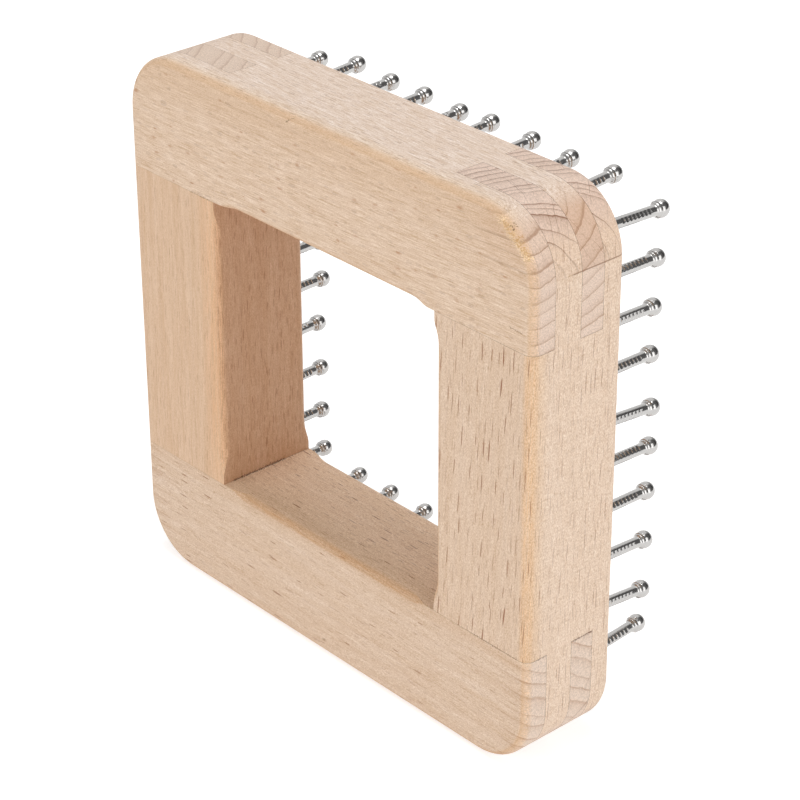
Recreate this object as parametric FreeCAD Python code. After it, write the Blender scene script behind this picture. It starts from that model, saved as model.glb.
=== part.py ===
import FreeCAD, Part

import math
import os

# Knitting board: a small square frame of four beech members, finger jointed at the corners,
# with a ring of round nails standing out of its back face. Yarn is looped on the nails and the
# knitted tube leaves through the window.
# The board stands on its bottom edge. X runs to the right seen from the plain front face,
# Y runs from the front face to the back, the way the nails point, and Z is up.
# The origin is the middle of the bottom edge. All sizes are in millimetres.

# Board
board_width = 125.0
board_height = 125.0
thickness = 24.7
corner_radius = 14.5
edge_round = 2.2

# Members, measured across the grain from the outside to the window
left_stile_width = 28.6
right_stile_width = 27.4
top_rail_width = 27.7
bottom_rail_width = 28.3

# The rounding cutter follows the window with a guide bearing, so it can't reach into a corner
bearing_radius = 7.5

# Fingers of each corner joint, from the front face, the last one taking what is left
front_finger = 5.7
second_finger = 7.0
third_finger = 6.0

# Nails: a shank with a point, and a head with a cone under it, a rim and a domed end. They are
# faceted as finely as such small pieces need.
nail_length = 40.0
nail_exposed = 21.5
shank_diameter = 2.4
point_length = 4.0
head_diameter = 3.9
head_cone = 1.1
head_rim = 0.7
head_dome = 1.75
nail_sides = 10
dome_steps = 2

# Ring of nails: how far in from the board's outside it runs, and how far from the board's
# corners, measured along the side, its rows and columns stop
ring_edge = 10.5
row_end = 24.0
column_end = 13.0
nails_in_row = 8
nails_in_column = 10

# The nails were driven by eye. Each head's way off its regular place, as (to the right or up
# along the side, outwards), with how far the head leans up over the exposed length.
# Rows count from the left, columns from the top.
wander = {
    "top": (
        (0.6, 1.1, 1.4), (0.6, 0.2, 0.7), (0.3, 0.3, 0.9), (0.4, -0.2, 0.9),
        (-1.0, 0.4, 1.5), (0.1, 0.2, 0.8), (0.3, -0.2, 1.8), (1.4, 0.3, 1.1),
    ),
    "bottom": (
        (-0.4, -0.9, 0.2), (-0.3, -0.9, 0.4), (0.5, -1.0, 0.3), (-0.2, -0.4, 0.6),
        (0.3, -0.6, 0.2), (-0.5, -0.2, 0.5), (0.4, -0.7, 0.1), (0.2, -0.3, 0.4),
    ),
    "left": (
        (1.1, -1.3, 0.4), (0.3, -0.4, 0.1), (-0.4, 0.2, 0.5), (0.5, -0.1, 0.2), (0.0, 0.0, 0.3),
        (1.6, -0.5, 0.2), (0.5, 1.2, 0.3), (0.0, 0.5, 0.3), (-0.3, 0.4, -0.1), (0.5, -0.3, 0.3),
    ),
    "right": (
        (-0.5, 0.8, -1.0), (-0.4, 0.3, -0.6), (-0.5, -0.1, -0.7), (-0.3, -0.3, -0.5),
        (-1.1, 0.7, -1.9), (0.7, 0.5, -1.0), (0.8, 0.2, -0.6), (-0.1, 0.2, -1.3),
        (-1.4, 0.1, -2.0), (0.6, -0.8, 1.4),
    ),
}

# Worked out from the sizes above
front_y = -thickness / 2
back_y = thickness / 2
left_x = -board_width / 2
right_x = board_width / 2
mid_z = board_height / 2
window_left = left_x + left_stile_width
window_right = right_x - right_stile_width
window_bottom = bottom_rail_width
window_top = board_height - top_rail_width
ring_half_width = board_width / 2 - ring_edge
ring_half_height = board_height / 2 - ring_edge
row_pitch = (board_width - 2 * row_end) / (nails_in_row - 1)
column_pitch = (board_height - 2 * column_end) / (nails_in_column - 1)
nail_embedded = nail_length - nail_exposed
head_reach = nail_exposed - head_dome
finger_walls = (
    front_y,
    front_y + front_finger,
    front_y + front_finger + second_finger,
    front_y + front_finger + second_finger + third_finger,
    back_y,
)
past = 1.0


def box(x_low, x_high, y_low, y_high, z_low, z_high):
    corner = FreeCAD.Vector(x_low, y_low, z_low)
    return Part.makeBox(x_high - x_low, y_high - y_low, z_high - z_low, corner)


def runs_along_y(edge):
    reach = edge.BoundBox
    return reach.YLength > reach.XLength + reach.ZLength


def lies_at(edge, y):
    reach = edge.BoundBox
    return abs(reach.YMin - y) < 1e-6 and abs(reach.YMax - y) < 1e-6


def rounded_plate(x_low, x_high, y_low, y_high, z_low, z_high, radius):
    plate = box(x_low, x_high, y_low, y_high, z_low, z_high)
    return plate.makeFillet(radius, [edge for edge in plate.Edges if runs_along_y(edge)])


# The board's outside, with the long edges rounded over back and front
def board_outside():
    plate = rounded_plate(left_x, right_x, front_y, back_y, 0, board_height, corner_radius)
    rims = [edge for edge in plate.Edges if lies_at(edge, front_y) or lies_at(edge, back_y)]
    return plate.makeFillet(edge_round, rims)


# What the rounding cutter takes off round the window at one face. The bearing keeps its own
# radius in each corner, so the flare runs out there and leaves the corner square.
def window_flare(face_y, into_wood):
    far_y = face_y + into_wood * 2 * edge_round
    y_low, y_high = min(face_y, far_y), max(face_y, far_y)
    reach = 2 * edge_round
    slab = box(
        window_left - reach, window_right + reach, y_low, y_high, window_bottom - reach, window_top + reach
    )
    hole = rounded_plate(
        window_left, window_right, y_low - past, y_high + past, window_bottom, window_top, bearing_radius
    )
    plate = slab.cut(hole)
    rim = [edge for edge in plate.Edges if lies_at(edge, face_y) and inside_window(edge)]
    return slab.cut(plate.makeFillet(edge_round, rim))


def inside_window(edge):
    reach = edge.BoundBox
    slack = edge_round / 10
    return (
        reach.XMin > window_left - slack
        and reach.XMax < window_right + slack
        and reach.ZMin > window_bottom - slack
        and reach.ZMax < window_top + slack
    )


# The whole board as if cut from one plank; each member is its own share of it
def board_shape():
    window = box(
        window_left, window_right, front_y - past, back_y + past, window_bottom, window_top
    )
    return board_outside().cut([window, window_flare(front_y, 1), window_flare(back_y, -1)])


# A rail has its own first and third fingers at each end, so it is full width there
def rail_blank(z_low, z_high):
    layers = []
    for number, (y_low, y_high) in enumerate(zip(finger_walls, finger_walls[1:])):
        if number % 2 == 0:
            layers.append(box(left_x, right_x, y_low, y_high, z_low, z_high))
        else:
            layers.append(box(window_left, window_right, y_low, y_high, z_low, z_high))
    return layers[0].multiFuse(layers[1:])


# A stile fills the second and fourth places at each end
def stile_blank(x_low, x_high):
    layers = []
    for number, (y_low, y_high) in enumerate(zip(finger_walls, finger_walls[1:])):
        if number % 2 == 0:
            layers.append(box(x_low, x_high, y_low, y_high, window_bottom, window_top))
        else:
            layers.append(box(x_low, x_high, y_low, y_high, 0, board_height))
    return layers[0].multiFuse(layers[1:])


# How far each ring of a nail's corners lies from the wood's back face, and its radius: the point,
# the shank, the cone under the head, the rim, and a dome that is part of a ball
def nail_rings():
    shank = shank_diameter / 2
    head = head_diameter / 2
    rim_start = head_reach - head_rim
    yield -nail_embedded, 0
    yield -nail_embedded + point_length, shank
    yield rim_start - head_cone, shank
    yield rim_start, head
    ball = (head**2 + head_dome**2) / (2 * head_dome)
    ball_centre = nail_exposed - ball
    opening = math.acos((head_reach - ball_centre) / ball)
    for step in range(dome_steps):
        angle = opening * (1 - step / dome_steps)
        yield ball_centre + ball * math.cos(angle), ball * math.sin(angle)
    yield nail_exposed, 0


def ring_corners(y, radius):
    turns = [2 * math.pi * number / nail_sides for number in range(nail_sides)]
    return [FreeCAD.Vector(radius * math.cos(turn), y, radius * math.sin(turn)) for turn in turns]


def flat_face(corners):
    return Part.Face(Part.makePolygon(corners + corners[:1]))


# One nail along Y, faceted, with the wood's back face at Y 0
def nail_shape():
    rings = list(nail_rings())
    faces = []
    for (y, radius), (next_y, next_radius) in zip(rings, rings[1:]):
        low = ring_corners(y, radius)
        high = ring_corners(next_y, next_radius)
        for number in range(nail_sides):
            after = (number + 1) % nail_sides
            corners = [low[number]] if radius == 0 else [low[number], low[after]]
            corners += [high[number]] if next_radius == 0 else [high[after], high[number]]
            faces.append(flat_face(corners))
    shell = Part.makeShell(faces)
    shell.sewShape()
    return Part.makeSolid(shell)


# Name, regular place and wander of every nail
def nail_places():
    for side, up in (("top", 1), ("bottom", -1)):
        for number in range(nails_in_row):
            along, outward, lean = wander[side][number % len(wander[side])]
            x = left_x + row_end + number * row_pitch + along
            z = mid_z + up * (ring_half_height + outward)
            yield f"nail_{side}_{number + 1}", x, z, lean
    for side, right in (("left", -1), ("right", 1)):
        for number in range(nails_in_column):
            along, outward, lean = wander[side][number % len(wander[side])]
            x = right * (ring_half_width + outward)
            z = board_height - column_end - number * column_pitch + along
            yield f"nail_{side}_{number + 1}", x, z, lean


def driven_nail(nail, x, z, lean):
    foot = FreeCAD.Vector(x, back_y, z - lean)
    way = FreeCAD.Vector(0, head_reach, lean)
    turn = FreeCAD.Rotation(FreeCAD.Vector(0, 1, 0), way)
    placed = nail.copy()
    placed.Placement = FreeCAD.Placement(foot, turn)
    return placed


def meets(shape, other):
    return shape.BoundBox.intersect(other.BoundBox)


def main():
    os.makedirs("parts", exist_ok=True)
    nail = nail_shape()
    nails = {name: driven_nail(nail, x, z, lean) for name, x, z, lean in nail_places()}
    board = board_shape()
    blanks = {
        "top_rail": rail_blank(window_top, board_height),
        "bottom_rail": rail_blank(0, window_bottom),
        "left_stile": stile_blank(left_x, window_left),
        "right_stile": stile_blank(window_right, right_x),
    }
    pieces = dict(nails)
    for name, blank in blanks.items():
        member = board.common(blank)
        member = member.cut([other for other in nails.values() if meets(member, other)])
        pieces[name] = member.removeSplitter()
    for name, shape in pieces.items():
        solids = shape.Solids
        if len(solids) != 1 or not solids[0].isValid():
            raise ValueError(f"{name} is {len(solids)} solids")
        solids[0].exportStep(f"parts/{name}.step")
        print(name, round(solids[0].Volume, 1))


main()
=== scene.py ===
# %% [markdown]
# # A beech knitting board with a ring of bright nails
#
# The board is a small square frame: two rails and two stiles of beech, finger jointed at the
# corners, with 36 nails driven into the back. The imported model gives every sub-part's size and
# place. This lesson dresses it: the wood gets its growth rings, rays and fibres, the nails get
# their gripper marks, and a white studio is set up round it.

import math

import bmesh
import bpy
from mathutils import Matrix, Vector


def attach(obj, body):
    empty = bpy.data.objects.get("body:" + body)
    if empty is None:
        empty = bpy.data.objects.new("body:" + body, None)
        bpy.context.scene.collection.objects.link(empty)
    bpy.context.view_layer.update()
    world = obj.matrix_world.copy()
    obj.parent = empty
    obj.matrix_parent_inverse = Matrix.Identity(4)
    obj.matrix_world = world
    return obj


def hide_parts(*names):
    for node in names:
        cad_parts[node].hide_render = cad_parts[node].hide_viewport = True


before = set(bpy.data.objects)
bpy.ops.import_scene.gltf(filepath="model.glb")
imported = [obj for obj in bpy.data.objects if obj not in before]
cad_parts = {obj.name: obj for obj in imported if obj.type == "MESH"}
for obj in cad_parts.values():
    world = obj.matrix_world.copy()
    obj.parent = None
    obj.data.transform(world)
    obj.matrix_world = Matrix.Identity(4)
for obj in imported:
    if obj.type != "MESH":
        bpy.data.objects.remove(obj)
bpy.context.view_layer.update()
MM = 0.001
print("nodes", len(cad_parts))

# %% [markdown]
# Colours are written as the hex values that a paint program shows, and one function turns them to
# the linear light that shaders work in. Another adds a node with its settings and its links in one
# call, so that a material reads as a list of steps: the links go to the sockets in their order, or
# by name or number. Most kinds of node have names that start with ShaderNode, in geometry trees
# too, and are written without it, and an operation stands after its kind. Small helpers empty a
# new tree, open a node group with named inputs, bend a curve and put an object in the scene.

# %% Helpers


def linear(hex_colour):
    values = [int(hex_colour[at : at + 2], 16) / 255 for at in (0, 2, 4)]
    return [v / 12.92 if v <= 0.04045 else ((v + 0.055) / 1.055) ** 2.4 for v in values] + [1.0]


def add(tree, kind, inputs=(), **settings):
    kind, _, operation = kind.partition(" ")
    node = tree.nodes.new(kind if "Node" in kind else f"ShaderNode{kind}")
    if operation:
        node.operation = operation
    for name, value in settings.items():
        setattr(node, name, value)
    for socket, value in inputs.items() if isinstance(inputs, dict) else enumerate(inputs):
        target = node.inputs[socket]
        if isinstance(value, bpy.types.Node):
            value = value.outputs[0]
        if isinstance(value, bpy.types.NodeSocket):
            tree.links.new(value, target)
        else:
            target.default_value = value
    return node


def emptied(owner):
    owner.use_nodes = True
    owner.node_tree.nodes.clear()
    return owner.node_tree


def open_group(name, kind, inputs, outputs):
    group = bpy.data.node_groups.new(name, kind)
    for label, value in inputs.items():
        socket_type = value if isinstance(value, str) else "NodeSocketFloat"
        socket = group.interface.new_socket(label, in_out="INPUT", socket_type=socket_type)
        if not isinstance(value, str):
            socket.default_value = value
    for label, socket_type in outputs.items():
        group.interface.new_socket(label, in_out="OUTPUT", socket_type=socket_type)
    return group, add(group, "NodeGroupInput").outputs


def bend(curve_node, points, straight=False):
    curve = curve_node.mapping.curves[0]
    curve.points[0].location = points[0]
    curve.points[-1].location = points[-1]
    for position, value in points[1:-1]:
        curve.points.new(position, value)
    if straight:
        for point in curve.points:
            point.handle_type = "VECTOR"
    curve_node.mapping.update()


def put(name, data):
    made = bpy.data.objects.new(name, data)
    bpy.context.scene.collection.objects.link(made)
    return made


print("white", linear("FFFFFF"))

# %% [markdown]
# The camera looks at the board from its front right and from above. Its place and direction were
# found by matching the board's corners and the nail heads with the picture. The picture is a crop
# from a taller one, so the lens is shifted a little.

# %% Camera
camera_place = Vector((0.380584, -0.330187, 0.332925))
camera_way = Vector((-0.66135037, 0.59131631, -0.46147666)).normalized()
camera_roll = -0.00425
picture_side = 800
focal_pixels = 2703.45
axis_above_middle = 50
sensor = 36.0

camera_data = bpy.data.cameras.new("camera")
camera_data.sensor_width = sensor
camera_data.lens = sensor * focal_pixels / picture_side
camera_data.shift_y = -axis_above_middle / picture_side
camera_data.clip_start = 0.01
camera = put("camera", camera_data)
level_right = camera_way.cross(Vector((0, 0, 1))).normalized()
level_up = level_right.cross(camera_way)
right = math.cos(camera_roll) * level_right + math.sin(camera_roll) * level_up
up = math.cos(camera_roll) * level_up - math.sin(camera_roll) * level_right
turn = Matrix((right, up, -camera_way)).transposed().to_4x4()
camera.matrix_world = Matrix.Translation(camera_place) @ turn
bpy.context.scene.camera = camera
bpy.context.scene.view_settings.view_transform = "Standard"
print("lens", round(camera_data.lens, 2), "shift", camera_data.shift_y)

# %% [markdown]
# The four members keep the shapes of their nodes. Each node is loose triangles, so a copy of it is
# merged and its flat faces are joined up. Then every sharp edge is broken by a hair, as
# sandpaper does, which also draws the joints between the members as fine grooves. The broken edges
# get a second material, which darkens them partly with glue and dust and partly with painted shade.

# %% Members
broken_edge = 0.13 * MM
same_place = 0.001 * MM
flat_within = math.radians(0.2)
sharp_from = math.radians(40)
members = ("top_rail", "bottom_rail", "left_stile", "right_stile")


def member_mesh(node):
    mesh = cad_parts[node].data.copy()
    work = bmesh.new()
    work.from_mesh(mesh)
    bmesh.ops.remove_doubles(work, verts=work.verts, dist=same_place)
    bmesh.ops.dissolve_limit(
        work, angle_limit=flat_within, verts=work.verts, edges=work.edges, delimit={"NORMAL"}
    )
    for face in work.faces:
        face.smooth = True
    work.to_mesh(mesh)
    work.free()
    mesh.materials.clear()
    return mesh


pieces = {}
for node in members:
    piece = put(f"{node}_wood", member_mesh(node))
    edges = piece.modifiers.new("broken edges", "BEVEL")
    edges.width = broken_edge
    edges.segments = 1
    edges.limit_method = "ANGLE"
    edges.angle_limit = sharp_from
    edges.material = 1
    smooth = piece.modifiers.new("smooth rounds", "WEIGHTED_NORMAL")
    smooth.mode = "FACE_AREA"
    smooth.keep_sharp = True
    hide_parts(node)
    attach(piece, "root")
    pieces[node] = piece
    print(node, len(piece.data.polygons), "faces")

# %% [markdown]
# The rays of beech are sheets of cells a fraction of a millimetre thick. Where a face cuts them they
# show as short brown spindles along the grain, the mark by which beech is known. They could be
# painted, but the faces have to agree, so one node group scatters spindles over a flat layout in
# millimetres: one cell in a Voronoi pattern holds one spindle or none.

# %% Spindles
FLOAT = "NodeSocketFloat"
VECTOR = "NodeSocketVector"

# How far a spindle reaches from its middle, by chance between these shares of its size
least_reach, most_reach = 0.3, 0.62


def spindle_pattern():
    group, source = open_group(
        "spindles", "ShaderNodeTree",
        {
            "Along, mm": 0.0, "Across, mm": 0.0, "Length, mm": 3.0, "Width, mm": 0.4,
            "Apart along, mm": 8.0, "Apart across, mm": 2.0, "Share": 0.5, "Core": 0.5,
            "Fewer strong": 0.6, "Seed": 0.0,
        },
        {"Spindle": FLOAT},
    )
    along, across, length, width = source[:4]
    apart_along, apart_across, share, core, fewer_strong, seed = source[4:10]
    laid = add(group, "CombineXYZ", (along, across))
    apart = add(group, "CombineXYZ", (apart_along, apart_across, 1.0))
    size = add(group, "CombineXYZ", (length, width, 1.0))
    start = add(group, "CombineXYZ", (seed, seed))
    cells = add(group, "VectorMath DIVIDE", (laid, apart))
    cells = add(group, "VectorMath ADD", (cells, start))
    cell = add(group, "TexVoronoi", {"Vector": cells, "Scale": 1.0}, voronoi_dimensions="2D").outputs
    off = add(group, "VectorMath SUBTRACT", (cells, cell["Position"]))
    off = add(group, "VectorMath MULTIPLY", (off, apart))
    off = add(group, "VectorMath DIVIDE", (off, size))
    reach = add(group, "VectorMath LENGTH", (off,)).outputs["Value"]

    # Chance gives each cell its own strength and size; below the share it holds nothing
    chance = add(group, "SeparateColor", (cell["Color"],)).outputs
    none = add(group, "Math SUBTRACT", (1.0, share))
    strength = add(group, "MapRange", (chance[0], none, 1.0, 0.0, 1.0))
    strength = add(group, "Math POWER", (strength, fewer_strong))
    room = add(group, "MapRange", {0: chance[1], 3: least_reach, 4: most_reach})
    edge = add(group, "Math DIVIDE", (reach, room))
    fade = (edge, 1.0, core, 0.0, 1.0)
    body = add(group, "MapRange", fade, interpolation_type="SMOOTHSTEP")
    shown = add(group, "Math MULTIPLY", (body, strength))
    add(group, "NodeGroupOutput", (shown,))
    return group


spindles = spindle_pattern()
print("spindle steps", len(spindles.nodes))

# %% [markdown]
# Beech also has growth rings round the trunk's middle, and fibres along it. A second node group
# holds the whole pattern in space, measured from the trunk's middle, so that the front, the sides
# and the end grain of a member agree with each other just as they do on real wood. Each member
# then says where the trunk's middle was, and which way its rays run through it.

# %% Rings
# The trunk wanders, so its rings do too, slowly along the grain and more quickly across it: the
# scale of each wander for a millimetre along and across, and how far it goes in millimetres
wanders = (((0.01, 0.06, 0.06), 3.0), ((0.05, 0.45, 0.45), 0.9))

# A year's growth starts pale, darkens slowly and stops at a sharp line: share of the year, darkness
year_line = (
    (0.0, 0.25), (0.05, 0.02), (0.45, 0.05), (0.75, 0.25), (0.89, 0.6), (0.945, 1.0),
    (0.98, 0.9), (1.0, 0.25),
)

# Good years grow wider than bad ones, and some years end in a fainter line
year_change = 0.7
year_shift = 0.9
faintest_line = 0.6


def wandering(group, place, seed):
    wandered = place
    for scale, amount in wanders:
        stretched = add(group, "VectorMath MULTIPLY", (place, scale))
        inputs = {"Vector": stretched, "W": seed, "Scale": 1.0, "Detail": 2.0}
        noise = add(group, "TexNoise", inputs, noise_dimensions="4D").outputs[1]
        centred = add(group, "VectorMath SUBTRACT", (noise, (0.5, 0.5, 0.5)))
        shift = add(group, "VectorMath MULTIPLY", (centred, (0.0, amount, amount)))
        wandered = add(group, "VectorMath ADD", (wandered, shift))
    return wandered


def ring_line(group, radius, ring_width):
    rings = add(group, "Math DIVIDE", (radius, ring_width))
    inputs = {"W": rings, "Scale": year_change, "Detail": 0.0}
    years = add(group, "TexNoise", inputs, noise_dimensions="1D")
    rings = add(group, "Math MULTIPLY_ADD", (years, year_shift, rings))
    year = add(group, "Math FRACT", (rings,))
    line = add(group, "FloatCurve", {1: year})
    bend(line, year_line)
    number = add(group, "Math FLOOR", (rings,))
    luck = add(group, "TexWhiteNoise", {"W": number}, noise_dimensions="1D")
    depth = add(group, "MapRange", {0: luck, 3: faintest_line, 4: 1.0})
    return add(group, "Math MULTIPLY", (line, depth))


print("wanders", len(wanders), "points of a year", len(year_line))

# %% The beech pattern
# Feature length along the grain and width across it in millimetres, with the amount of finer
# detail. Real fibres are a tenth as wide, but would not show in a picture.
noise_sizes = {
    "Fibre": (5.0, 0.17, 1.5),
    "Tooth": (0.42, 0.17, 1.5),
    "Streak": (40.0, 2.4, 3.0),
    "Pore": (1.4, 0.30, 2.0),
}
finer_share = 0.65

# Each layout gives a mark's length, width, distance apart along and across, in millimetres, the
# share of places that hold one, how sharp its core is, and how few of them are strong
vessel_layout = (2.2, 0.19, 2.8, 0.75, 0.8, 0.7, 0.8)
end_ray_layout = (13.0, 0.28, 9.0, 2.0, 0.55, 0.4, 0.9)

# The rays of end grain are laid out round the trunk, in millimetres at this radius
radius_of_rays = 75.0


def beech_pattern():
    group, source = open_group(
        "beech pattern", "ShaderNodeTree",
        {
            "From trunk, mm": VECTOR, "Ring width, mm": 3.1, "Ray way": 0.8, "Ray length, mm": 3.0,
            "Ray width, mm": 0.3, "Rays apart along, mm": 7.0, "Rays apart across, mm": 1.6,
            "Ray share": 0.5, "Ray core": 0.5, "Fewer strong rays": 0.6, "Seed": 0.0,
        },
        {name: FLOAT for name in ("Ring", "Ray", "Vessel", "End ray", *noise_sizes)},
    )
    place, ring_width, ray_way, *ray_layout, seed = source[:11]
    wandered = wandering(group, place, seed)
    along, across, out = add(group, "SeparateXYZ", (wandered,)).outputs
    flat = add(group, "CombineXYZ", {1: across, 2: out})
    radius = add(group, "VectorMath LENGTH", (flat,)).outputs["Value"]

    # Rays on the long faces: sheets that run through the member at one angle, so that both faces
    # cut them, each at its own width. Vessels are finer and closer together.
    across_rays = add(group, "Math SINE", (ray_way,))
    out_rays = add(group, "Math COSINE", (ray_way,))
    from_y = add(group, "Math MULTIPLY", (across, across_rays))
    sheet = add(group, "Math MULTIPLY_ADD", (out, out_rays, from_y))

    # Rays on end grain: fine lines from the middle outwards, so square to the rings
    angle = add(group, "Math ARCTAN2", (across, out))
    round_trunk = add(group, "Math MULTIPLY", (angle, radius_of_rays))
    shown = [ring_line(group, radius, ring_width)]
    for first, second, layout in (
        (along, sheet, ray_layout),
        (along, sheet, vessel_layout),
        (radius, round_trunk, end_ray_layout),
    ):
        laid_out = (first, second, *layout, seed)
        shown.append(add(group, "Group", laid_out, node_tree=spindles))
    for length, width, detail in noise_sizes.values():
        scale = (1 / length, 1 / width, 1 / width)
        stretched = add(group, "VectorMath MULTIPLY", (wandered, scale))
        inputs = {"Vector": stretched, "W": seed, "Scale": 1.0, "Detail": detail}
        inputs["Roughness"] = finer_share
        shown.append(add(group, "TexNoise", inputs, noise_dimensions="4D"))
    add(group, "NodeGroupOutput", shown)
    return group


pattern = beech_pattern()
print("pattern steps", len(pattern.nodes))

# %% [markdown]
# Some marks come from the making, not from the tree: the rounding cutter tore a few chips out of the
# brittle end grain at the top right, and there are small dents. They are too shallow for the mesh to
# need them, so a node group marks the wood near a short line between two places. A fine noise
# shifts the places by a part of the mark's width, which gives it torn edges.

# %% Chips and dents
tear = 3.0
tear_scale = 3.4

# Distances from the line at which a mark ends and is at its full depth, as shares of its width
mark_end, mark_full = 0.6, 0.2


def chip_shape():
    group, source = open_group(
        "chip", "ShaderNodeTree",
        {"Place, mm": VECTOR, "From, mm": VECTOR, "To, mm": VECTOR, "Width, mm": 0.3}, {"Chip": FLOAT},
    )
    place, start, end, width = source[:4]
    noise = add(group, "TexNoise", {"Vector": place, "Scale": tear_scale, "Detail": 2.0}).outputs[1]
    shift = add(group, "VectorMath SUBTRACT", (noise, (0.5, 0.5, 0.5)))
    shift = add(group, "VectorMath SCALE", {0: shift, "Scale": width})
    torn = add(group, "VectorMath MULTIPLY_ADD", (shift, (tear, tear, tear), place))
    run = add(group, "VectorMath SUBTRACT", (end, start))
    off = add(group, "VectorMath SUBTRACT", (torn, start))
    travelled, whole = (
        add(group, "VectorMath DOT_PRODUCT", (vector, run)).outputs["Value"]
        for vector in (off, run)
    )
    share = add(group, "Math DIVIDE", (travelled, whole), use_clamp=True)
    nearest = add(group, "VectorMath SCALE", {0: run, "Scale": share})
    away = add(group, "VectorMath DISTANCE", (off, nearest)).outputs["Value"]
    edge = add(group, "Math DIVIDE", (away, width))
    fade = (edge, mark_end, mark_full, 0.0, 1.0)
    shown = add(group, "MapRange", fade, interpolation_type="SMOOTHSTEP")
    add(group, "NodeGroupOutput", (shown,))
    return group


chip = chip_shape()
print("chip steps", len(chip.nodes))

# %% Where the chips and dents are
# From and to in millimetres, width, colour and strength. The joints that stand open are marks on
# both of their members.
open_inside = ((-33.9, -9.5, 28.3), (-33.9, 5.0, 28.3), 0.62, "5A3A26", 0.85)
open_top_left = ((-42.0, -12.35, 97.3), (-35.0, -12.35, 97.3), 0.34, "8A6446", 0.6)
open_bottom_right = ((47.0, -12.35, 28.3), (59.5, -12.35, 28.3), 0.34, "80583A", 0.6)
open_side = ((62.5, 0.4, 28.3), (62.5, 6.3, 28.3), 0.4, "64432C", 0.85)
chips = {
    "top_rail": (
        ((53.4, -12.1, 122.9), (60.2, -11.7, 117.2), 1.5, "FBE0B6", 0.8),
        ((54.0, -12.0, 122.4), (60.0, -11.6, 117.6), 1.1, "B5803F", 0.7),
        ((55.5, -11.0, 122.7), (56.2, -10.9, 122.1), 0.42, "7E6040", 0.75),
        ((55.7, -11.7, 122.1), (56.2, -11.7, 121.7), 0.5, "6E5034", 0.9),
        ((55.1, -11.9, 122.0), (55.5, -11.6, 122.3), 0.35, "94744E", 0.7),
        ((54.9, -12.2, 121.6), (54.8, -11.8, 122.4), 0.35, "B08C62", 0.6),
        ((57.2, -12.1, 120.1), (58.0, -11.1, 120.8), 0.42, "B8854A", 0.7),
        ((58.2, -11.9, 119.5), (58.7, -11.4, 119.9), 0.4, "B98E58", 0.7),
        ((60.0, -11.9, 116.7), (60.5, -11.5, 116.8), 0.4, "B59068", 0.6),
        ((52.8, -12.2, 122.8), (54.4, -12.1, 122.3), 0.3, "B08A62", 0.6),
        ((56.8, -11.9, 122.9), (57.2, -11.9, 122.5), 0.4, "7A5430", 0.8),
        ((57.8, -12.0, 121.9), (58.3, -12.0, 121.5), 0.4, "8A5E30", 0.75),
        ((58.0, -12.0, 121.0), (58.3, -12.0, 120.6), 0.45, "8A5E30", 0.7),
        ((-35.3, -0.8, 125.0), (-34.9, -1.0, 125.0), 0.5, "B47A58", 0.7),
        open_top_left,
        ((-9.0, -12.3, 123.3), (-7.3, -11.6, 124.5), 0.36, "846648", 0.9),
        ((56.2, -12.4, 101.7), (59.5, -12.4, 101.5), 0.45, "96704E", 0.75),
    ),
    "bottom_rail": (
        ((-0.6, -12.4, 3.7), (0.4, -12.4, 3.9), 0.5, "8F6A48", 0.7),
        open_inside,
        ((-33.9, 5.0, 28.3), (-33.9, 12.3, 28.3), 0.4, "6E4A32", 0.6),
        open_bottom_right,
        open_side,
        ((62.4, -10.4, 28.3), (62.5, -6.7, 28.3), 0.36, "64432C", 0.8),
    ),
    "left_stile": (open_inside, open_top_left),
    "right_stile": (
        ((62.4, -3.4, 111.6), (62.4, -3.0, 111.5), 0.5, "B58C60", 0.7),
        open_bottom_right,
        open_side,
    ),
}
print("chips", sum(len(places) for places in chips.values()))

# %% [markdown]
# The same corner was shaped after the glue had set, with a cutter that went a little deeper at the
# back than the sander did on the flat side. It left a ledge, which the mesh doesn't have: its step
# is drawn as a fine dark line across the fingers, a painted shadow. Above it, round the corner, the
# wood is painted browner, partly as painted shade of the slightly hollowed face and partly as the
# cutter's burnish, most of all on the third finger. Its rings and small checks are darker there. A
# node group finds the places.

# %% Ledge at the corner
corner_start, corner_full = 45.0, 50.0
ledge_height = 111.5
ledge_front = -2.8
line_edge, line_core = 0.22, 0.08

# The browning is light at the ledge, full this far above it, and gone near the board's top
browning_full = 9.0
browning_at_ledge = 0.55
browning_fades, browning_ends = 10.5, 13.3
third_finger_middle = 3.35
third_finger_half = 3.0
finger_blend = 0.05
other_fingers = 0.35


def corner_ledge():
    group, source = open_group(
        "corner ledge", "ShaderNodeTree", {"Place, mm": VECTOR},
        {"Line": FLOAT, "Browning": FLOAT, "Corner": FLOAT},
    )
    x, y, z = add(group, "SeparateXYZ", (source[0],)).outputs
    outer = add(group, "MapRange", (x, corner_start, corner_full))
    back = add(group, "MapRange", (y, ledge_front, ledge_front + 1.0))
    there = add(group, "Math MULTIPLY", (outer, back))
    above = add(group, "Math SUBTRACT", (z, ledge_height))
    from_line = add(group, "Math ABSOLUTE", (above,))
    line = add(group, "MapRange", (from_line, line_edge, line_core, 0.0, 1.0))
    line = add(group, "Math MULTIPLY", (line, there))
    past = add(group, "Math GREATER_THAN", (above, 0.0))
    rising = (above, 0.0, browning_full, browning_at_ledge, 1.0)
    falling = (above, browning_ends, browning_fades, 0.0, 1.0)
    corner = add(group, "Math MULTIPLY", (outer, past))
    for change in (rising, falling):
        share = add(group, "MapRange", change)
        corner = add(group, "Math MULTIPLY", (corner, share))
    off_middle = add(group, "Math SUBTRACT", (y, third_finger_middle))
    off_middle = add(group, "Math ABSOLUTE", (off_middle,))
    past_finger = third_finger_half + finger_blend
    third = add(group, "MapRange", (off_middle, third_finger_half, past_finger, 1.0, other_fingers))
    browning = add(group, "Math MULTIPLY", (corner, third))
    add(group, "NodeGroupOutput", (line, browning, corner))
    return group


ledge = corner_ledge()
print("ledge at", ledge_height, "mm")
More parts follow.
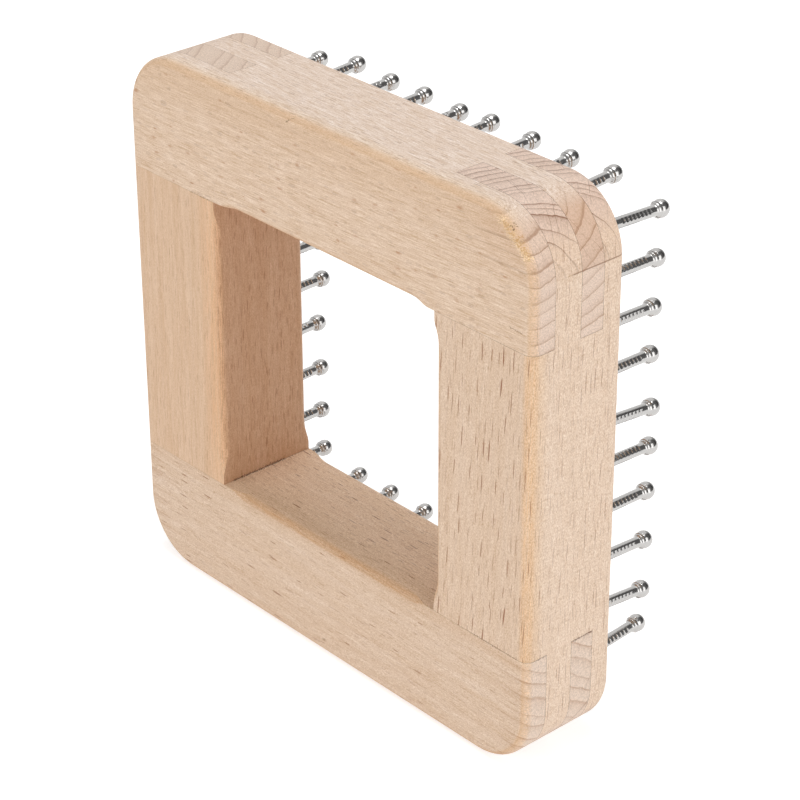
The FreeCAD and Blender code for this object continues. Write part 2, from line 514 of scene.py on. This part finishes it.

# %% [markdown]
# Planed and sanded beech, with no varnish: a pale tan on the front, pinker and paler on the
# edges, greyer on end grain, where the cut fibres scatter the light. The rounded front edges are
# painted more golden, a painted sheen where the rounding turns between the lit front and the
# sides; on the bottom rail it is darker, as painted shade. The window's faces are partly the sawn
# wood's own colour and partly painted light and shade: darker on the stiles and the top rail,
# lighter on the bottom rail. The surface is matt, with the fibres just felt. Every kind of face has
# its own value for each colour and mark, and one function blends them, so that no edge between two
# kinds is hard. Two kinds go by place: "by front" is a side near the front, and "inside near" is
# the part of the window's faces near it, painted darker as shade where the sides' light reaches less.

# %% Kinds of face
board_middle = (0, 0, 62.5)
board_half_thickness = 12.35


def by_face(tree, masks, values):
    colour = isinstance(values["side"], str)
    kind, low, high, result = ("RGBA", 6, 7, 2) if colour else ("FLOAT", 2, 3, 0)
    values = {face: linear(value) if colour else value for face, value in values.items()}
    blended = values.pop("side")
    for face, value in values.items():
        inputs = {0: masks[face], low: blended, high: value}
        blended = add(tree, "Mix", inputs, data_type=kind).outputs[result]
    return blended


def stained(tree, body, mark, colour, depth):
    amount = add(tree, "Math MULTIPLY", (mark, depth))
    return add(tree, "Mix", {0: amount, 6: body, 7: linear(colour)}, data_type="RGBA").outputs[2]


def face_masks(tree, facing, in_mm, grain, inward, ray_way):
    x, y, z = add(tree, "SeparateXYZ", (facing,)).outputs
    from_middle = add(tree, "VectorMath SUBTRACT", (in_mm, board_middle))
    out_x, out_y, out_z = add(tree, "SeparateXYZ", (from_middle,)).outputs
    from_front = add(tree, "Math ADD", (out_y, board_half_thickness))
    forward = add(tree, "Math MULTIPLY", (y, -1.0))

    # Where a sheet of rays lies flat in the surface it would show as a blot, so it fades out there
    across_sheets = (0, math.sin(ray_way), math.cos(ray_way))
    if grain == "Z":
        across_sheets = (-math.cos(ray_way), math.sin(ray_way), 0)
    inwards, flat_sheet = (
        add(tree, "VectorMath DOT_PRODUCT", (facing, way)).outputs["Value"]
        for way in (inward, across_sheets)
    )
    end, along = (x, out_x) if grain == "X" else (z, out_z)
    flat_y, flat_end, flat_along, flat_sheet = (
        add(tree, "Math ABSOLUTE", (value,)) for value in (y, end, along, flat_sheet)
    )
    masks = {}
    for mask, value, low, high in (
        ("front", flat_y, 0.35, 0.9),
        ("inside", inwards, 0.5, 0.95),
        ("end", flat_end, 0.35, 0.80),
        ("round in", forward, 0.02, 0.6),
        ("round out", forward, 0.9995, 0.85),
        ("cut ray", flat_sheet, 0.995, 0.96),
        ("near end", flat_along, 52.0, 61.0),
        ("by front", from_front, 5.0, 1.2),
        ("inside near", from_front, 13.0, 2.0),
    ):
        inputs = (value, low, high)
        masks[mask] = add(tree, "MapRange", inputs, interpolation_type="SMOOTHSTEP")
    return masks


print("board from", -board_half_thickness, "to", board_half_thickness, "mm")

# %% The golden edge, a painted sheen
# The gold is patchy: it goes by the fibre noise, from its least share to all of it
patch_start, patch_end = 0.35, 0.62
least_gold = 0.25


def edge_sheen(tree, masks, in_mm, fibre, sheen_on_flat):
    rounded = add(tree, "Math MULTIPLY", (masks["round in"], masks["round out"]))

    # Where the painted sheen of the rounding goes on to the flat
    outwards, start, end, share = sheen_on_flat
    reach = add(tree, "VectorMath DOT_PRODUCT", (in_mm, outwards)).outputs["Value"]
    reach = add(tree, "MapRange", (reach, start, end), interpolation_type="SMOOTHSTEP")
    for part in (share, masks["round in"]):
        reach = add(tree, "Math MULTIPLY", (reach, part))
    sheen_mask = add(tree, "Math MAXIMUM", (rounded, reach))
    patchy = add(tree, "MapRange", (fibre, patch_start, patch_end, least_gold, 1.0))
    return add(tree, "Math MULTIPLY", (sheen_mask, patchy))


print("least gold", least_gold)

# %% Beech material
# What the darkest and the lightest places of each noise do to the wood's red, green and blue
tones = {
    "Fibre": ((0.79, 0.71, 0.60), (1.13, 1.21, 1.32)),
    "Tooth": ((0.72, 0.62, 0.53), (1.17, 1.28, 1.42)),
    "Streak": ((0.92, 0.87, 0.80), (1.05, 1.08, 1.12)),
    "Pore": ((0.76, 0.73, 0.71), (1.16, 1.16, 1.16)),
    "Scratch": ((0.90, 0.88, 0.86), (1.08, 1.09, 1.10)),
}
noise_low, noise_high = 0.3, 0.7

# The sander ran over the right side at a slant; its scratches are 5 mm long and a hair wide
scratch_turn = (math.radians(-28), 0, 0)
scratch_scale = (0.2, 0.2, 4.2)
ring_sharpness = 3.0


def beech(node, grain, trunk, inward, lean, sheen_on_flat, layout, faces):
    material = bpy.data.materials.new(f"beech {node.replace('_', ' ')}")
    tree = emptied(material)
    where = add(tree, "TexCoord").outputs
    in_mm = add(tree, "VectorMath SCALE", {0: where["Object"], "Scale": 1 / MM})
    centred = add(tree, "VectorMath SUBTRACT", (in_mm, trunk))

    # Turned so that X runs along the grain, which leans a few degrees from the member's edges
    turn = (0, math.radians(lean if grain == "X" else 90 - lean), 0)
    laid = add(tree, "Mapping", {0: centred, "Rotation": turn})
    wood = dict(add(tree, "Group", (laid, *layout), node_tree=pattern).outputs.items())
    masks = face_masks(tree, where["Normal"], in_mm, grain, inward, ray_way=layout[1])
    # The golden edge is a painted sheen on the roundings
    masks["edge"] = edge_sheen(tree, masks, in_mm, wood["Fibre"], sheen_on_flat)
    for mask, first, second in (
        ("end edge", "edge", "near end"),
        ("near end", "near end", "front"),
        ("inside near", "inside near", "inside"),
    ):
        both = (masks[first], masks[second])
        masks[mask] = add(tree, "Math MULTIPLY", both)

    # The plain wood, darkened warmly and lightened by its fibres, or by its pores on end grain
    body = by_face(tree, masks, faces["colour"])
    scratched = add(tree, "Mapping", {0: in_mm, "Rotation": scratch_turn, "Scale": scratch_scale})
    wood["Scratch"] = add(tree, "TexNoise", {"Vector": scratched, "Scale": 1.0, "Detail": 2.0})
    for name, (dark, light) in tones.items():
        share = add(tree, "MapRange", (wood[name], noise_low, noise_high))
        tone = {0: share, 6: (*dark, 1.0), 7: (*light, 1.0)}
        tone = add(tree, "Mix", tone, data_type="RGBA").outputs[2]
        toned = {0: by_face(tree, masks, faces[name]), 6: body, 7: tone}
        body = add(tree, "Mix", toned, data_type="RGBA", blend_type="MULTIPLY").outputs[2]

    # Rings, vessels, rays and the fine rays of end grain, each in its own depth on each kind of face
    rays = (wood["Ray"], masks["cut ray"])
    wood["Ray"] = add(tree, "Math MULTIPLY", rays)
    for name in ("Ring", "Vessel", "Ray", "End ray"):
        colour, depths = faces[name]
        body = stained(tree, body, wood[name], colour, by_face(tree, masks, depths))

    # Marks of the making, with the painted shadow and shade of the ledge
    if node in ("top_rail", "right_stile"):
        shaped = add(tree, "Group", (in_mm,), node_tree=ledge).outputs
        cuts = add(tree, "Math POWER", (wood["Ring"], ring_sharpness))
        cuts = add(tree, "Math MAXIMUM", (cuts, wood["End ray"]))
        cuts = add(tree, "Math MULTIPLY", (cuts, shaped["Corner"]))
        # Painted shade: the browning above the ledge is partly the shade of its hollowed face
        body = stained(tree, body, shaped["Browning"], "BE8A5E", 0.4)
        body = stained(tree, body, cuts, "7E5230", 0.5)
        # The ledge's line is a painted shadow under its step
        body = stained(tree, body, shaped["Line"], "8C6244", 0.7)
    for start, end, width, colour, strength in chips[node]:
        mark = add(tree, "Group", (in_mm, start, end, width), node_tree=chip)
        body = stained(tree, body, mark, colour, strength)

    height = add(tree, "Math ADD", (wood["Fibre"], wood["Tooth"]))
    bump = add(tree, "Bump", {"Strength": 0.18, "Distance": 0.05 * MM, "Height": height})
    surface = add(
        tree, "BsdfPrincipled",
        {"Base Color": body, "Roughness": 0.62, "IOR": 1.5, "Specular IOR Level": 0.3, "Normal": bump},
    )
    add(tree, "OutputMaterial", (surface,))
    return material


print("tones", *tones)

# %% The four members' wood
# Of these colours, "edge" and "end edge" are the golden edge's painted sheen, "inside" is partly the
# sawn wood's own colour and partly painted light and shade in the window, and "inside near" is painted
# shade
colour = {
    "side": "E8D2BF", "by front": "E8D2BF", "front": "E5C9AE", "inside": "DAAD8A",
    "inside near": "DAAD8A", "edge": "DDBB98", "end": "E4CFBD", "end edge": "E3C19E",
}
marks = {
    "Fibre": {"side": 0.5, "front": 0.55, "end": 0.12},
    "Tooth": {"side": 0.85, "front": 0.75, "end": 0.2},
    "Streak": {"side": 0.2, "front": 0.5, "end": 0.15},
    "Pore": {"side": 0.0, "end": 1.0},
    "Scratch": {"side": 0.0, "front": 0.0},
    "Ring": ("96664A", {"side": 0.08, "front": 0.08, "end": 0.66}),
    "Ray": ("8C5026", {"side": 0.55, "front": 0.85, "inside": 0.6, "end": 0.0}),
    "Vessel": ("8E5A30", {"side": 0.3, "front": 0.25, "inside": 0.4, "end": 0.0}),
    "End ray": ("7A4E34", {"side": 0.0, "end": 0.5}),
}

# For each member: its grain, a place in the trunk's middle, the way to the window, the lean of the
# grain in degrees, and where the painted sheen of the golden edge goes on to the flat. Then the ring
# width, the way of the rays, their length and width, their distance apart along and across, their
# share and core, how few are strong, and the seed.
woods = {
    "top_rail": beech(
        "top_rail", "X", (0, -14.3, 141.0), (0, 0, -1), 1.5, ((0, 0, 1), 114.5, 122.0, 0.5),
        (3.0, 1.23, 2.6, 0.30, 6.0, 1.0, 0.6, 0.0, 1.7, 1.0),
        marks | {
            "colour": colour | {
                "side": "EDD7C4", "by front": "ECD3BA", "edge": "D8B490", "end": "E9D2C0",
            },
            "Fibre": {"side": 1.0, "front": 0.9, "end": 0.12},
            "Tooth": {"side": 0.55, "front": 0.5, "end": 0.2},
            "Streak": {"side": 0.0, "front": 0.35, "end": 0.15},
            "Ring": ("9A683E", {"side": 0.08, "front": 0.08, "end": 0.5}),
            "Ray": ("AE7448", {"side": 0.35, "front": 0.7, "end": 0.0}),
            "Vessel": ("84583A", {"side": 0.5, "front": 0.2, "end": 0.0}),
        },
    ),
    "bottom_rail": beech(
        "bottom_rail", "X", (0, -99.0, -149.0), (0, 0, 1), 0.0, ((0, 0, 1), 24.6, 26.4, 0.25),
        (3.1, 0.9, 3.4, 0.28, 8.0, 1.8, 0.6, 0.4, 0.7, 2.0),
        marks | {
            "colour": colour | {
                # The window face is painted lighter as painted light, darker near the front as painted
                # shade, and the golden edge darker as painted shade
                "front": "E2C7AD", "inside": "FDDFC0", "inside near": "E0C2A2",
                "edge": "CCA075", "end": "E8D3C1",
            },
            "Streak": {"side": 0.3, "front": 0.8, "end": 0.15},
            "Ray": ("8C5026", {"side": 0.55, "front": 0.7, "inside": 0.85, "end": 0.0}),
            "Ring": ("A06838", {"side": 0.08, "front": 0.08, "near end": 0.4, "end": 0.52}),
            "End ray": ("86583C", {"side": 0.0, "end": 0.35}),
        },
    ),
    "left_stile": beech(
        "left_stile", "Z", (-106.0, -51.0, 0), (1, 0, 0), 1.0, ((1, 0, 0), -41.0, -36.2, 0.9),
        (3.3, -0.6, 3.2, 0.18, 6.0, 0.95, 0.8, 0.45, 0.8, 3.0),
        marks | {
            "colour": colour | {
                # The window face is darker, partly its own sawn colour and partly painted shade
                "front": "DEBD9E", "inside": "CFA583", "inside near": "CCA280", "edge": "E4B78E",
            },
            "Fibre": {"side": 0.5, "front": 0.35, "inside": 0.6, "end": 0.12},
            "Tooth": {"side": 0.8, "front": 0.4, "inside": 0.6, "end": 0.2},
            "Streak": {"side": 0.3, "front": 0.9, "inside": 0.8, "end": 0.15},
            "Ring": ("96664A", {"side": 0.08, "front": 0.08, "end": 0.42}),
            "Ray": ("8C5026", {"side": 0.55, "front": 0.45, "inside": 0.55, "end": 0.0}),
            "End ray": ("7A4E34", {"side": 0.0, "end": 0.15}),
        },
    ),
    "right_stile": beech(
        "right_stile", "Z", (83.0, -17.0, 0), (-1, 0, 0), 3.0, ((1, 0, 0), 59.6, 61.0, 1.0),
        (2.0, -0.95, 5.4, 0.20, 7.2, 1.1, 0.8, 0.6, 0.55, 4.0),
        marks | {
            "colour": colour | {
                "side": "EDD3BA", "by front": "EBCCAC", "front": "E3C7AC", "edge": "E5BD94",
                "end": "E6CFBF",
            },
            "Fibre": {"side": 0.25, "front": 0.4, "end": 0.12},
            "Scratch": {"side": 0.45, "front": 0.0},
            "Ring": ("7A4C30", {"side": 0.06, "front": 0.06, "end": 0.85}),
            "End ray": ("5F3C28", {"side": 0.0, "end": 0.6}),
        },
    ),
}
for node, material in woods.items():
    print(material.name, len(material.node_tree.nodes), "steps")

# %% [markdown]
# The broken edges are painted darker, partly as glue and dust and partly as painted shade in their
# fine grooves: in some places the joint is a dark hair line, in others it can't be seen. A slow
# noise decides, so the same seam comes and goes along its length.
# The joints at the right are more open than those at the left, and the joints on the outer sides
# more open than those on the front.

# %% Seams
# From one place to another, and how much more open the joints are at each
opening_rightwards = (-20 * MM, 45 * MM, -0.25, 0.1)
opening_backwards = (-12 * MM, -8 * MM, 0.0, 0.35)
seam_patches = 110.0
seam_least = 0.15


def seam(plain, dark):
    material = bpy.data.materials.new("seam glue and shade")
    tree = emptied(material)
    where = add(tree, "TexCoord").outputs["Object"]
    x, y = add(tree, "SeparateXYZ", (where,)).outputs[:2]
    open_right = add(tree, "MapRange", (x, *opening_rightwards))
    open_side = add(tree, "MapRange", (y, *opening_backwards))
    open_joint = add(tree, "Math ADD", (open_right, open_side))
    noise = add(tree, "TexNoise", {"Vector": where, "Scale": seam_patches, "Detail": 2.0})
    level = add(tree, "Math ADD", (noise, open_joint))
    amount = add(tree, "MapRange", (level, 0.25, 0.75, seam_least, 1.0))
    # The dark colour is partly glue and dust and partly painted shade in the grooves
    colour = {0: amount, 6: linear(plain), 7: linear(dark)}
    colour = add(tree, "Mix", colour, data_type="RGBA").outputs[2]
    surface = {"Base Color": colour, "Roughness": 0.8, "Specular IOR Level": 0.2}
    surface = add(tree, "BsdfPrincipled", surface)
    add(tree, "OutputMaterial", (surface,))
    return material


seam_glue_and_shade = seam("D9B795", "5E3B26")
for node, material in woods.items():
    pieces[node].data.materials.append(material)
    pieces[node].data.materials.append(seam_glue_and_shade)
print("seams", seam_glue_and_shade.name)

# %% [markdown]
# The nails come next. Each one's line is read from its node: the lowest corner along the board's
# depth is its point and the highest is the top of its dome, however it leans. The foot is where
# that line leaves the wood.

# %% Where the nails stand
nail_out = 21.5 * MM
nail_in = 18.5 * MM

# Which way each nail's gripper marks face, in degrees round from the right towards the top
marks_face = {
    "top": (35, 60, 20, 75, 40, 10, 50, 30),
    "bottom": (40, 80, 15, 120, 60, 35, 95, 10),
    "left": (30, 90, 50, 15, 110, 45, 70, 25, 55, 35),
    "right": (35, 58, 14, 35, 12, 58, 38, 16, 14, 32),
}


def nail_line(node):
    corners = [corner.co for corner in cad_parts[node].data.vertices]
    tip = min(corners, key=lambda corner: corner.y)
    top = max(corners, key=lambda corner: corner.y)
    way = (top - tip).normalized()
    return top - way * nail_out, way


def feet_mesh(row):
    lines = [nail_line(f"nail_{row}_{number + 1}") for number in range(len(marks_face[row]))]
    mesh = bpy.data.meshes.new(f"nails_{row}")
    mesh.from_pydata([foot for foot, way in lines], [], [])
    mesh.attributes.new("way", "FLOAT_VECTOR", "POINT")
    mesh.attributes.new("turn", "FLOAT", "POINT")
    for at, (foot, way) in enumerate(lines):
        mesh.attributes["way"].data[at].vector = way
        mesh.attributes["turn"].data[at].value = -math.radians(marks_face[row][at])
    return mesh


foot = nail_line("nail_right_1")[0]
print("foot of the first nail on the right, mm", [round(v / MM, 2) for v in foot])

# %% [markdown]
# A nail is a turned shape, so its tree bends a line of points into a nail: the points lie closer
# together where the shape changes, and the radius at each is worked out from its height. The machine
# that headed the wire gripped it with toothed jaws, which left a comb of notches on two sides under
# the head. These are pushed into the mesh, because they are deep enough to be seen edge-on. Then
# one nail is set on each foot.

# %% The nail's sizes
# Heights are measured from the foot. Above the neck come a cone, a fine collar and a shallow groove,
# and then the ball.
notches = 8
notch_spacing = 1.07 * MM
neck = nail_out - 4.05 * MM
comb_end = neck - 1.2 * MM
cone_end = neck + 0.75 * MM
collar_start = cone_end + 0.15 * MM
collar_end = collar_start + 0.2 * MM
nail_sizes = {
    "Tip": -nail_in,
    "Point end": -nail_in + 4.0 * MM,
    "Comb start": comb_end - notches * notch_spacing,
    "Comb end": comb_end,
    "Neck": neck,
    "Cone end": cone_end,
    "Collar start": collar_start,
    "Collar end": collar_end,
    "Groove start": collar_end + 0.06 * MM,
    "Groove end": collar_end + 0.12 * MM,
    "Top": nail_out,
    "Shank radius": 1.2 * MM,
    "Cone radius": 1.64 * MM,
    "Collar radius": 1.8 * MM,
    "Groove radius": 1.74 * MM,
    "Ball radius": 1.95 * MM,
    "Notch depth": 0.22 * MM,
}

# How many steps the line takes to each height
steps_to = {
    "Point end": 2, "Comb start": 3, "Comb end": notches * 8, "Neck": 2, "Cone end": 6,
    "Collar start": 2, "Collar end": 2, "Groove start": 2, "Groove end": 2, "Top": 18,
}
nail_sides = 24
crease = math.radians(25)

# Points this close are merged, which closes the nail at its tip and at its top
closing = 0.005 * MM
print("points along a nail", sum(steps_to.values()) + 1)

# %% A line bent into a nail


def nail_spine(tree, size):
    # Each stretch of points starts at the height where the one before it ended
    index = add(tree, "GeometryNodeInputIndex")
    height = size["Tip"]
    done = 0
    for name, count in steps_to.items():
        spacing = "SMOOTHSTEP" if name == "Top" else "LINEAR"
        stretch = (index, done, done + count, height, size[name])
        height = add(tree, "MapRange", stretch, interpolation_type=spacing)
        done += count
    line = add(tree, "GeometryNodeMeshLine", {"Count": done + 1})
    at = add(tree, "CombineXYZ", {2: height})
    line = add(tree, "GeometryNodeSetPosition", {0: line, "Position": at})
    return add(tree, "GeometryNodeMeshToCurve", (line,))


def turned_nail(tree, size):
    # The radius grows over the point, over the cone and to the collar, and sinks to the groove
    along = add(tree, "SeparateXYZ", (add(tree, "GeometryNodeInputPosition"),)).outputs[2]
    radius = 0.0
    for start, end, wide, spacing in (
        ("Tip", "Point end", "Shank radius", "LINEAR"),
        ("Neck", "Cone end", "Cone radius", "SMOOTHSTEP"),
        ("Cone end", "Collar start", "Collar radius", "SMOOTHSTEP"),
        ("Collar end", "Groove start", "Groove radius", "SMOOTHSTEP"),
    ):
        stretch = (along, size[start], size[end], radius, size[wide])
        radius = add(tree, "MapRange", stretch, interpolation_type=spacing)

    # Above the groove sits a ball that ends at the top
    ball = size["Ball radius"]
    centre = add(tree, "Math SUBTRACT", (size["Top"], ball))
    above = add(tree, "Math SUBTRACT", (along, centre))
    below = add(tree, "Math MULTIPLY", (above, -1.0))
    squared = add(tree, "Math MULTIPLY", (ball, ball))
    squared = add(tree, "Math MULTIPLY_ADD", (above, below, squared))
    squared = add(tree, "Math MAXIMUM", (squared, 0.0))
    round_top = add(tree, "Math SQRT", (squared,))
    clear = add(tree, "Math ADD", (size["Groove end"], same_place))
    in_ball = add(tree, "Math GREATER_THAN", (along, clear))
    radius = add(tree, "Mix", {0: in_ball, 2: radius, 3: round_top}, data_type="FLOAT")
    circle = {"Resolution": nail_sides, "Radius": 1.0}
    circle = add(tree, "GeometryNodeCurvePrimitiveCircle", circle)
    swept = {"Curve": nail_spine(tree, size), "Profile Curve": circle, "Scale": radius}
    return add(tree, "GeometryNodeCurveToMesh", swept)


print("sides of a nail", nail_sides)

# %% Gripper marks
# Each notch has a flat floor, because a straight jaw pressed it, a steep wall at one end and a
# steeper one at the other: share of the spacing, share of the depth
notch_shape = ((0.0, 0.0), (0.12, 0.85), (0.62, 1.0), (0.80, 0.0), (1.0, 0.0))


def gripped(tree, size, nail):
    here = add(tree, "GeometryNodeInputPosition")
    x, y, z = add(tree, "SeparateXYZ", (here,)).outputs
    comb = (z, size["Comb start"], size["Comb end"], 0.0, notches)
    turns = add(tree, "MapRange", comb)
    phase = add(tree, "Math FRACT", (turns,))
    tooth = add(tree, "FloatCurve", {1: phase})
    bend(tooth, notch_shape, straight=True)
    depth = add(tree, "Math MULTIPLY", (tooth, size["Notch depth"]))
    floor = add(tree, "Math SUBTRACT", (size["Shank radius"], depth))
    in_comb = add(tree, "Math GREATER_THAN", (depth, 0.0))
    low_x = add(tree, "Math MULTIPLY", (floor, -1.0))
    pressed = add(tree, "Clamp", (x, low_x, floor))
    pressed = add(tree, "CombineXYZ", (pressed, y, z))
    moved = {0: nail, "Selection": in_comb, "Position": pressed}
    nail = add(tree, "GeometryNodeSetPosition", moved)
    return add(tree, "GeometryNodeMergeByDistance", {0: nail, "Distance": closing})


print("comb, mm", round(notches * notch_spacing / MM, 2))

# %% The nail tree


def creased(tree, nail):
    # Smooth all over, but for the creases where the collar and the notches start
    nail = add(tree, "GeometryNodeSetShadeSmooth", (nail,))
    fold = add(tree, "GeometryNodeInputMeshEdgeAngle")
    sharp = add(tree, "FunctionNodeCompare GREATER_THAN", (fold, crease))
    edges = {0: nail, "Selection": sharp, "Shade Smooth": False}
    return add(tree, "GeometryNodeSetShadeSmooth", edges, domain="EDGE")


def planted(tree, size, nail):
    # One nail on each foot, leaning its own way and turned about itself
    way = add(tree, "GeometryNodeInputNamedAttribute", {"Name": "way"}, data_type="FLOAT_VECTOR")
    turn = add(tree, "GeometryNodeInputNamedAttribute", {"Name": "turn"}, data_type="FLOAT")
    leaning = add(tree, "FunctionNodeAlignRotationToVector", {"Vector": way}, axis="Z")
    about = add(tree, "FunctionNodeAxisAngleToRotation", {"Axis": (0, 0, 1), "Angle": turn})
    rotation = {"Rotation": leaning, "Rotate By": about}
    rotation = add(tree, "FunctionNodeRotateRotation", rotation, rotation_space="LOCAL")
    placed = {0: size["Feet"], "Instance": nail, "Rotation": rotation}
    placed = add(tree, "GeometryNodeInstanceOnPoints", placed)
    real = add(tree, "GeometryNodeRealizeInstances", (placed,))
    return add(tree, "GeometryNodeSetMaterial", {0: real, "Material": size["Material"]})


def nail_tree():
    tree, source = open_group(
        "nail", "GeometryNodeTree",
        {"Feet": "NodeSocketGeometry", **nail_sizes, "Material": "NodeSocketMaterial"},
        {"Nails": "NodeSocketGeometry"},
    )
    size = {socket.name: socket for socket in source if socket.name}
    nail = creased(tree, gripped(tree, size, turned_nail(tree, size)))
    add(tree, "NodeGroupOutput", (planted(tree, size, nail),))
    return tree


nail_maker = nail_tree()
print("nail steps", len(nail_maker.nodes))

# %% [markdown]
# Bright steel wire with a thin coat of nickel: nearly a mirror, a hint warmer than grey, with lines
# along it from the drawing die. Real ones are too fine to show, so they are drawn a sixth of a
# millimetre wide.

# %% Nail material
line_width = MM / 6
line_length = 4 * MM
smoothest, roughest = 0.14, 0.26


def bright_nickel():
    material = bpy.data.materials.new("bright nickel on steel")
    tree = emptied(material)
    where = add(tree, "TexCoord").outputs["Object"]
    scale = (1 / line_width, 1 / line_length, 1 / line_width)
    lines = add(tree, "Mapping", {0: where, "Scale": scale})
    noise = add(tree, "TexNoise", {"Vector": lines, "Scale": 1.0, "Detail": 2.0})
    polish = (noise, noise_low, noise_high, smoothest, roughest)
    roughness = add(tree, "MapRange", polish)
    bump = add(tree, "Bump", {"Strength": 0.15, "Distance": 0.02 * MM, "Height": noise})
    surface = add(
        tree, "BsdfPrincipled",
        {"Base Color": linear("BEBCBA"), "Metallic": 1.0, "Roughness": roughness, "Normal": bump},
    )
    add(tree, "OutputMaterial", (surface,))
    return material


nickel = bright_nickel()
print(nickel.name, len(nickel.node_tree.nodes), "steps")

# %% Nails


def bake_nails(row):
    feet = put(f"feet_{row}", feet_mesh(row))
    maker = feet.modifiers.new("nails", "NODES")
    maker.node_group = nail_maker
    for item in nail_maker.interface.items_tree:
        if item.name in nail_sizes:
            maker[item.identifier] = nail_sizes[item.name]
        if item.name == "Material":
            maker[item.identifier] = nickel
    ready = feet.evaluated_get(bpy.context.evaluated_depsgraph_get())
    mesh = bpy.data.meshes.new_from_object(ready)
    mesh.name = f"nails_{row}"
    bpy.data.objects.remove(feet)
    return put(f"nails_{row}", mesh)


for row, faces in marks_face.items():
    count = len(faces)
    piece = bake_nails(row)
    work = bmesh.new()
    work.from_mesh(piece.data)
    volume = work.calc_volume(signed=True)
    loose = sum(1 for edge in work.edges if not edge.is_manifold)
    work.free()
    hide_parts(*[f"nail_{row}_{number + 1}" for number in range(count)])
    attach(piece, "root")
    pieces[piece.name] = piece
    print(piece.name, len(piece.data.polygons), "faces, open edges", loose)
    print("volume, mm3", round(volume / MM**3))

# %% [markdown]
# The studio: a white floor, a white world, a large soft lamp overhead and softer ones at the front
# and the right. A low lamp behind lights the wood's back and the shadow's far side, and metal
# doesn't mirror it. Polished metal would show an all-white room as plain white, so for reflections
# alone the room is dim towards the front, where the picture is taken from, dimmer straight behind,
# and dark in one place at the back right. That draws the dark stripe along the nails. The floor
# glows a little, and turns to plain white away from the board, so that it has no horizon.

# %% Floor
floor_half = 1.5
floor_seen = 0.62
floor_light = 0.3
fade_start, fade_end = 0.3, 1.2
floor_corners = [(x * floor_half, y * floor_half, 0) for x, y in ((-1, -1), (1, -1), (1, 1), (-1, 1))]
floor_mesh = bpy.data.meshes.new("floor")
floor_mesh.from_pydata(floor_corners, [], [(0, 1, 2, 3)])
floor = put("floor", floor_mesh)
floor_paint = bpy.data.materials.new("white floor")
tree = emptied(floor_paint)
matt = add(tree, "BsdfDiffuse", (linear("D8D8D8"),))
ray = add(tree, "LightPath").outputs
seen = add(tree, "Math MAXIMUM", (ray["Is Camera Ray"], ray["Is Glossy Ray"]))
where = add(tree, "TexCoord").outputs["Object"]
away = add(tree, "VectorMath LENGTH", (where,)).outputs["Value"]
far = add(tree, "MapRange", (away, fade_start, fade_end, floor_seen, 1.0))
level = add(tree, "Mix", {0: seen, 2: floor_light, 3: far}, data_type="FLOAT")
glow = add(tree, "Emission", ((1, 1, 1, 1), level))
both = add(tree, "AddShader", (matt, glow))
add(tree, "OutputMaterial", (both,))
floor_mesh.materials.append(floor_paint)
print("floor, m", 2 * floor_half)

# %% World
world_fill = 0.36
dark_way = Vector((0.66, 0.59, 0.46)).normalized()
dark_edge = (0.60, 0.78)
dark_level = 0.15
dim_edge = (-0.75, 0.25)
dim_level = 0.30
behind_edge = (0.70, 0.90)
behind_level = 0.35

world = bpy.data.worlds.new("white room")
bpy.context.scene.world = world
tree = emptied(world)
where = add(tree, "TexCoord").outputs["Generated"]
towards_dark = add(tree, "VectorMath DOT_PRODUCT", (where, dark_way))
towards_back = add(tree, "SeparateXYZ", (where,)).outputs[1]
mirrored = 1.0
for value, low, high, before, after in (
    (towards_dark.outputs["Value"], *dark_edge, 1.0, dark_level),
    (towards_back, *dim_edge, dim_level, 1.0),
    (towards_back, *behind_edge, 1.0, behind_level),
):
    part = add(tree, "MapRange", (value, low, high, before, after), interpolation_type="SMOOTHSTEP")
    mirrored = add(tree, "Math MULTIPLY", (mirrored, part))
ray = add(tree, "LightPath").outputs
level = add(tree, "Mix", {0: ray["Is Glossy Ray"], 2: world_fill, 3: mirrored}, data_type="FLOAT")
plain = add(tree, "Math MAXIMUM", (ray["Is Camera Ray"], ray["Is Transmission Ray"]))
level = add(tree, "Mix", {0: plain, 2: level, 3: 1.0}, data_type="FLOAT")
room = add(tree, "Background", ((1, 1, 1, 1), level))
add(tree, "OutputWorld", (room,))
print("dark stripe level", dark_level)

# %% Lamps


def softbox(name, place, target, side, power):
    data = bpy.data.lights.new(name, "AREA")
    data.size = side
    data.energy = power
    lamp = put(name, data)
    lamp.location = place
    way = Vector(target) - Vector(place)
    lamp.rotation_euler = way.to_track_quat("-Z", "Y").to_euler()
    return lamp


middle = (0, 0, 0.0625)
for name, place, side, power in (
    ("overhead", (0.0, 0.0, 1.2), 0.5, 5.4),
    ("right", (1.1, -0.1, 0.42), 1.0, 5.7),
    ("front", (-0.2, -1.2, 0.25), 0.8, 5.8),
    ("back", (0.0, 1.2, 0.12), 0.8, 3.5),
):
    lamp = softbox(name, place, middle, side, power)
    lamp.visible_glossy = name != "back"
    print(lamp.name, power, "W")
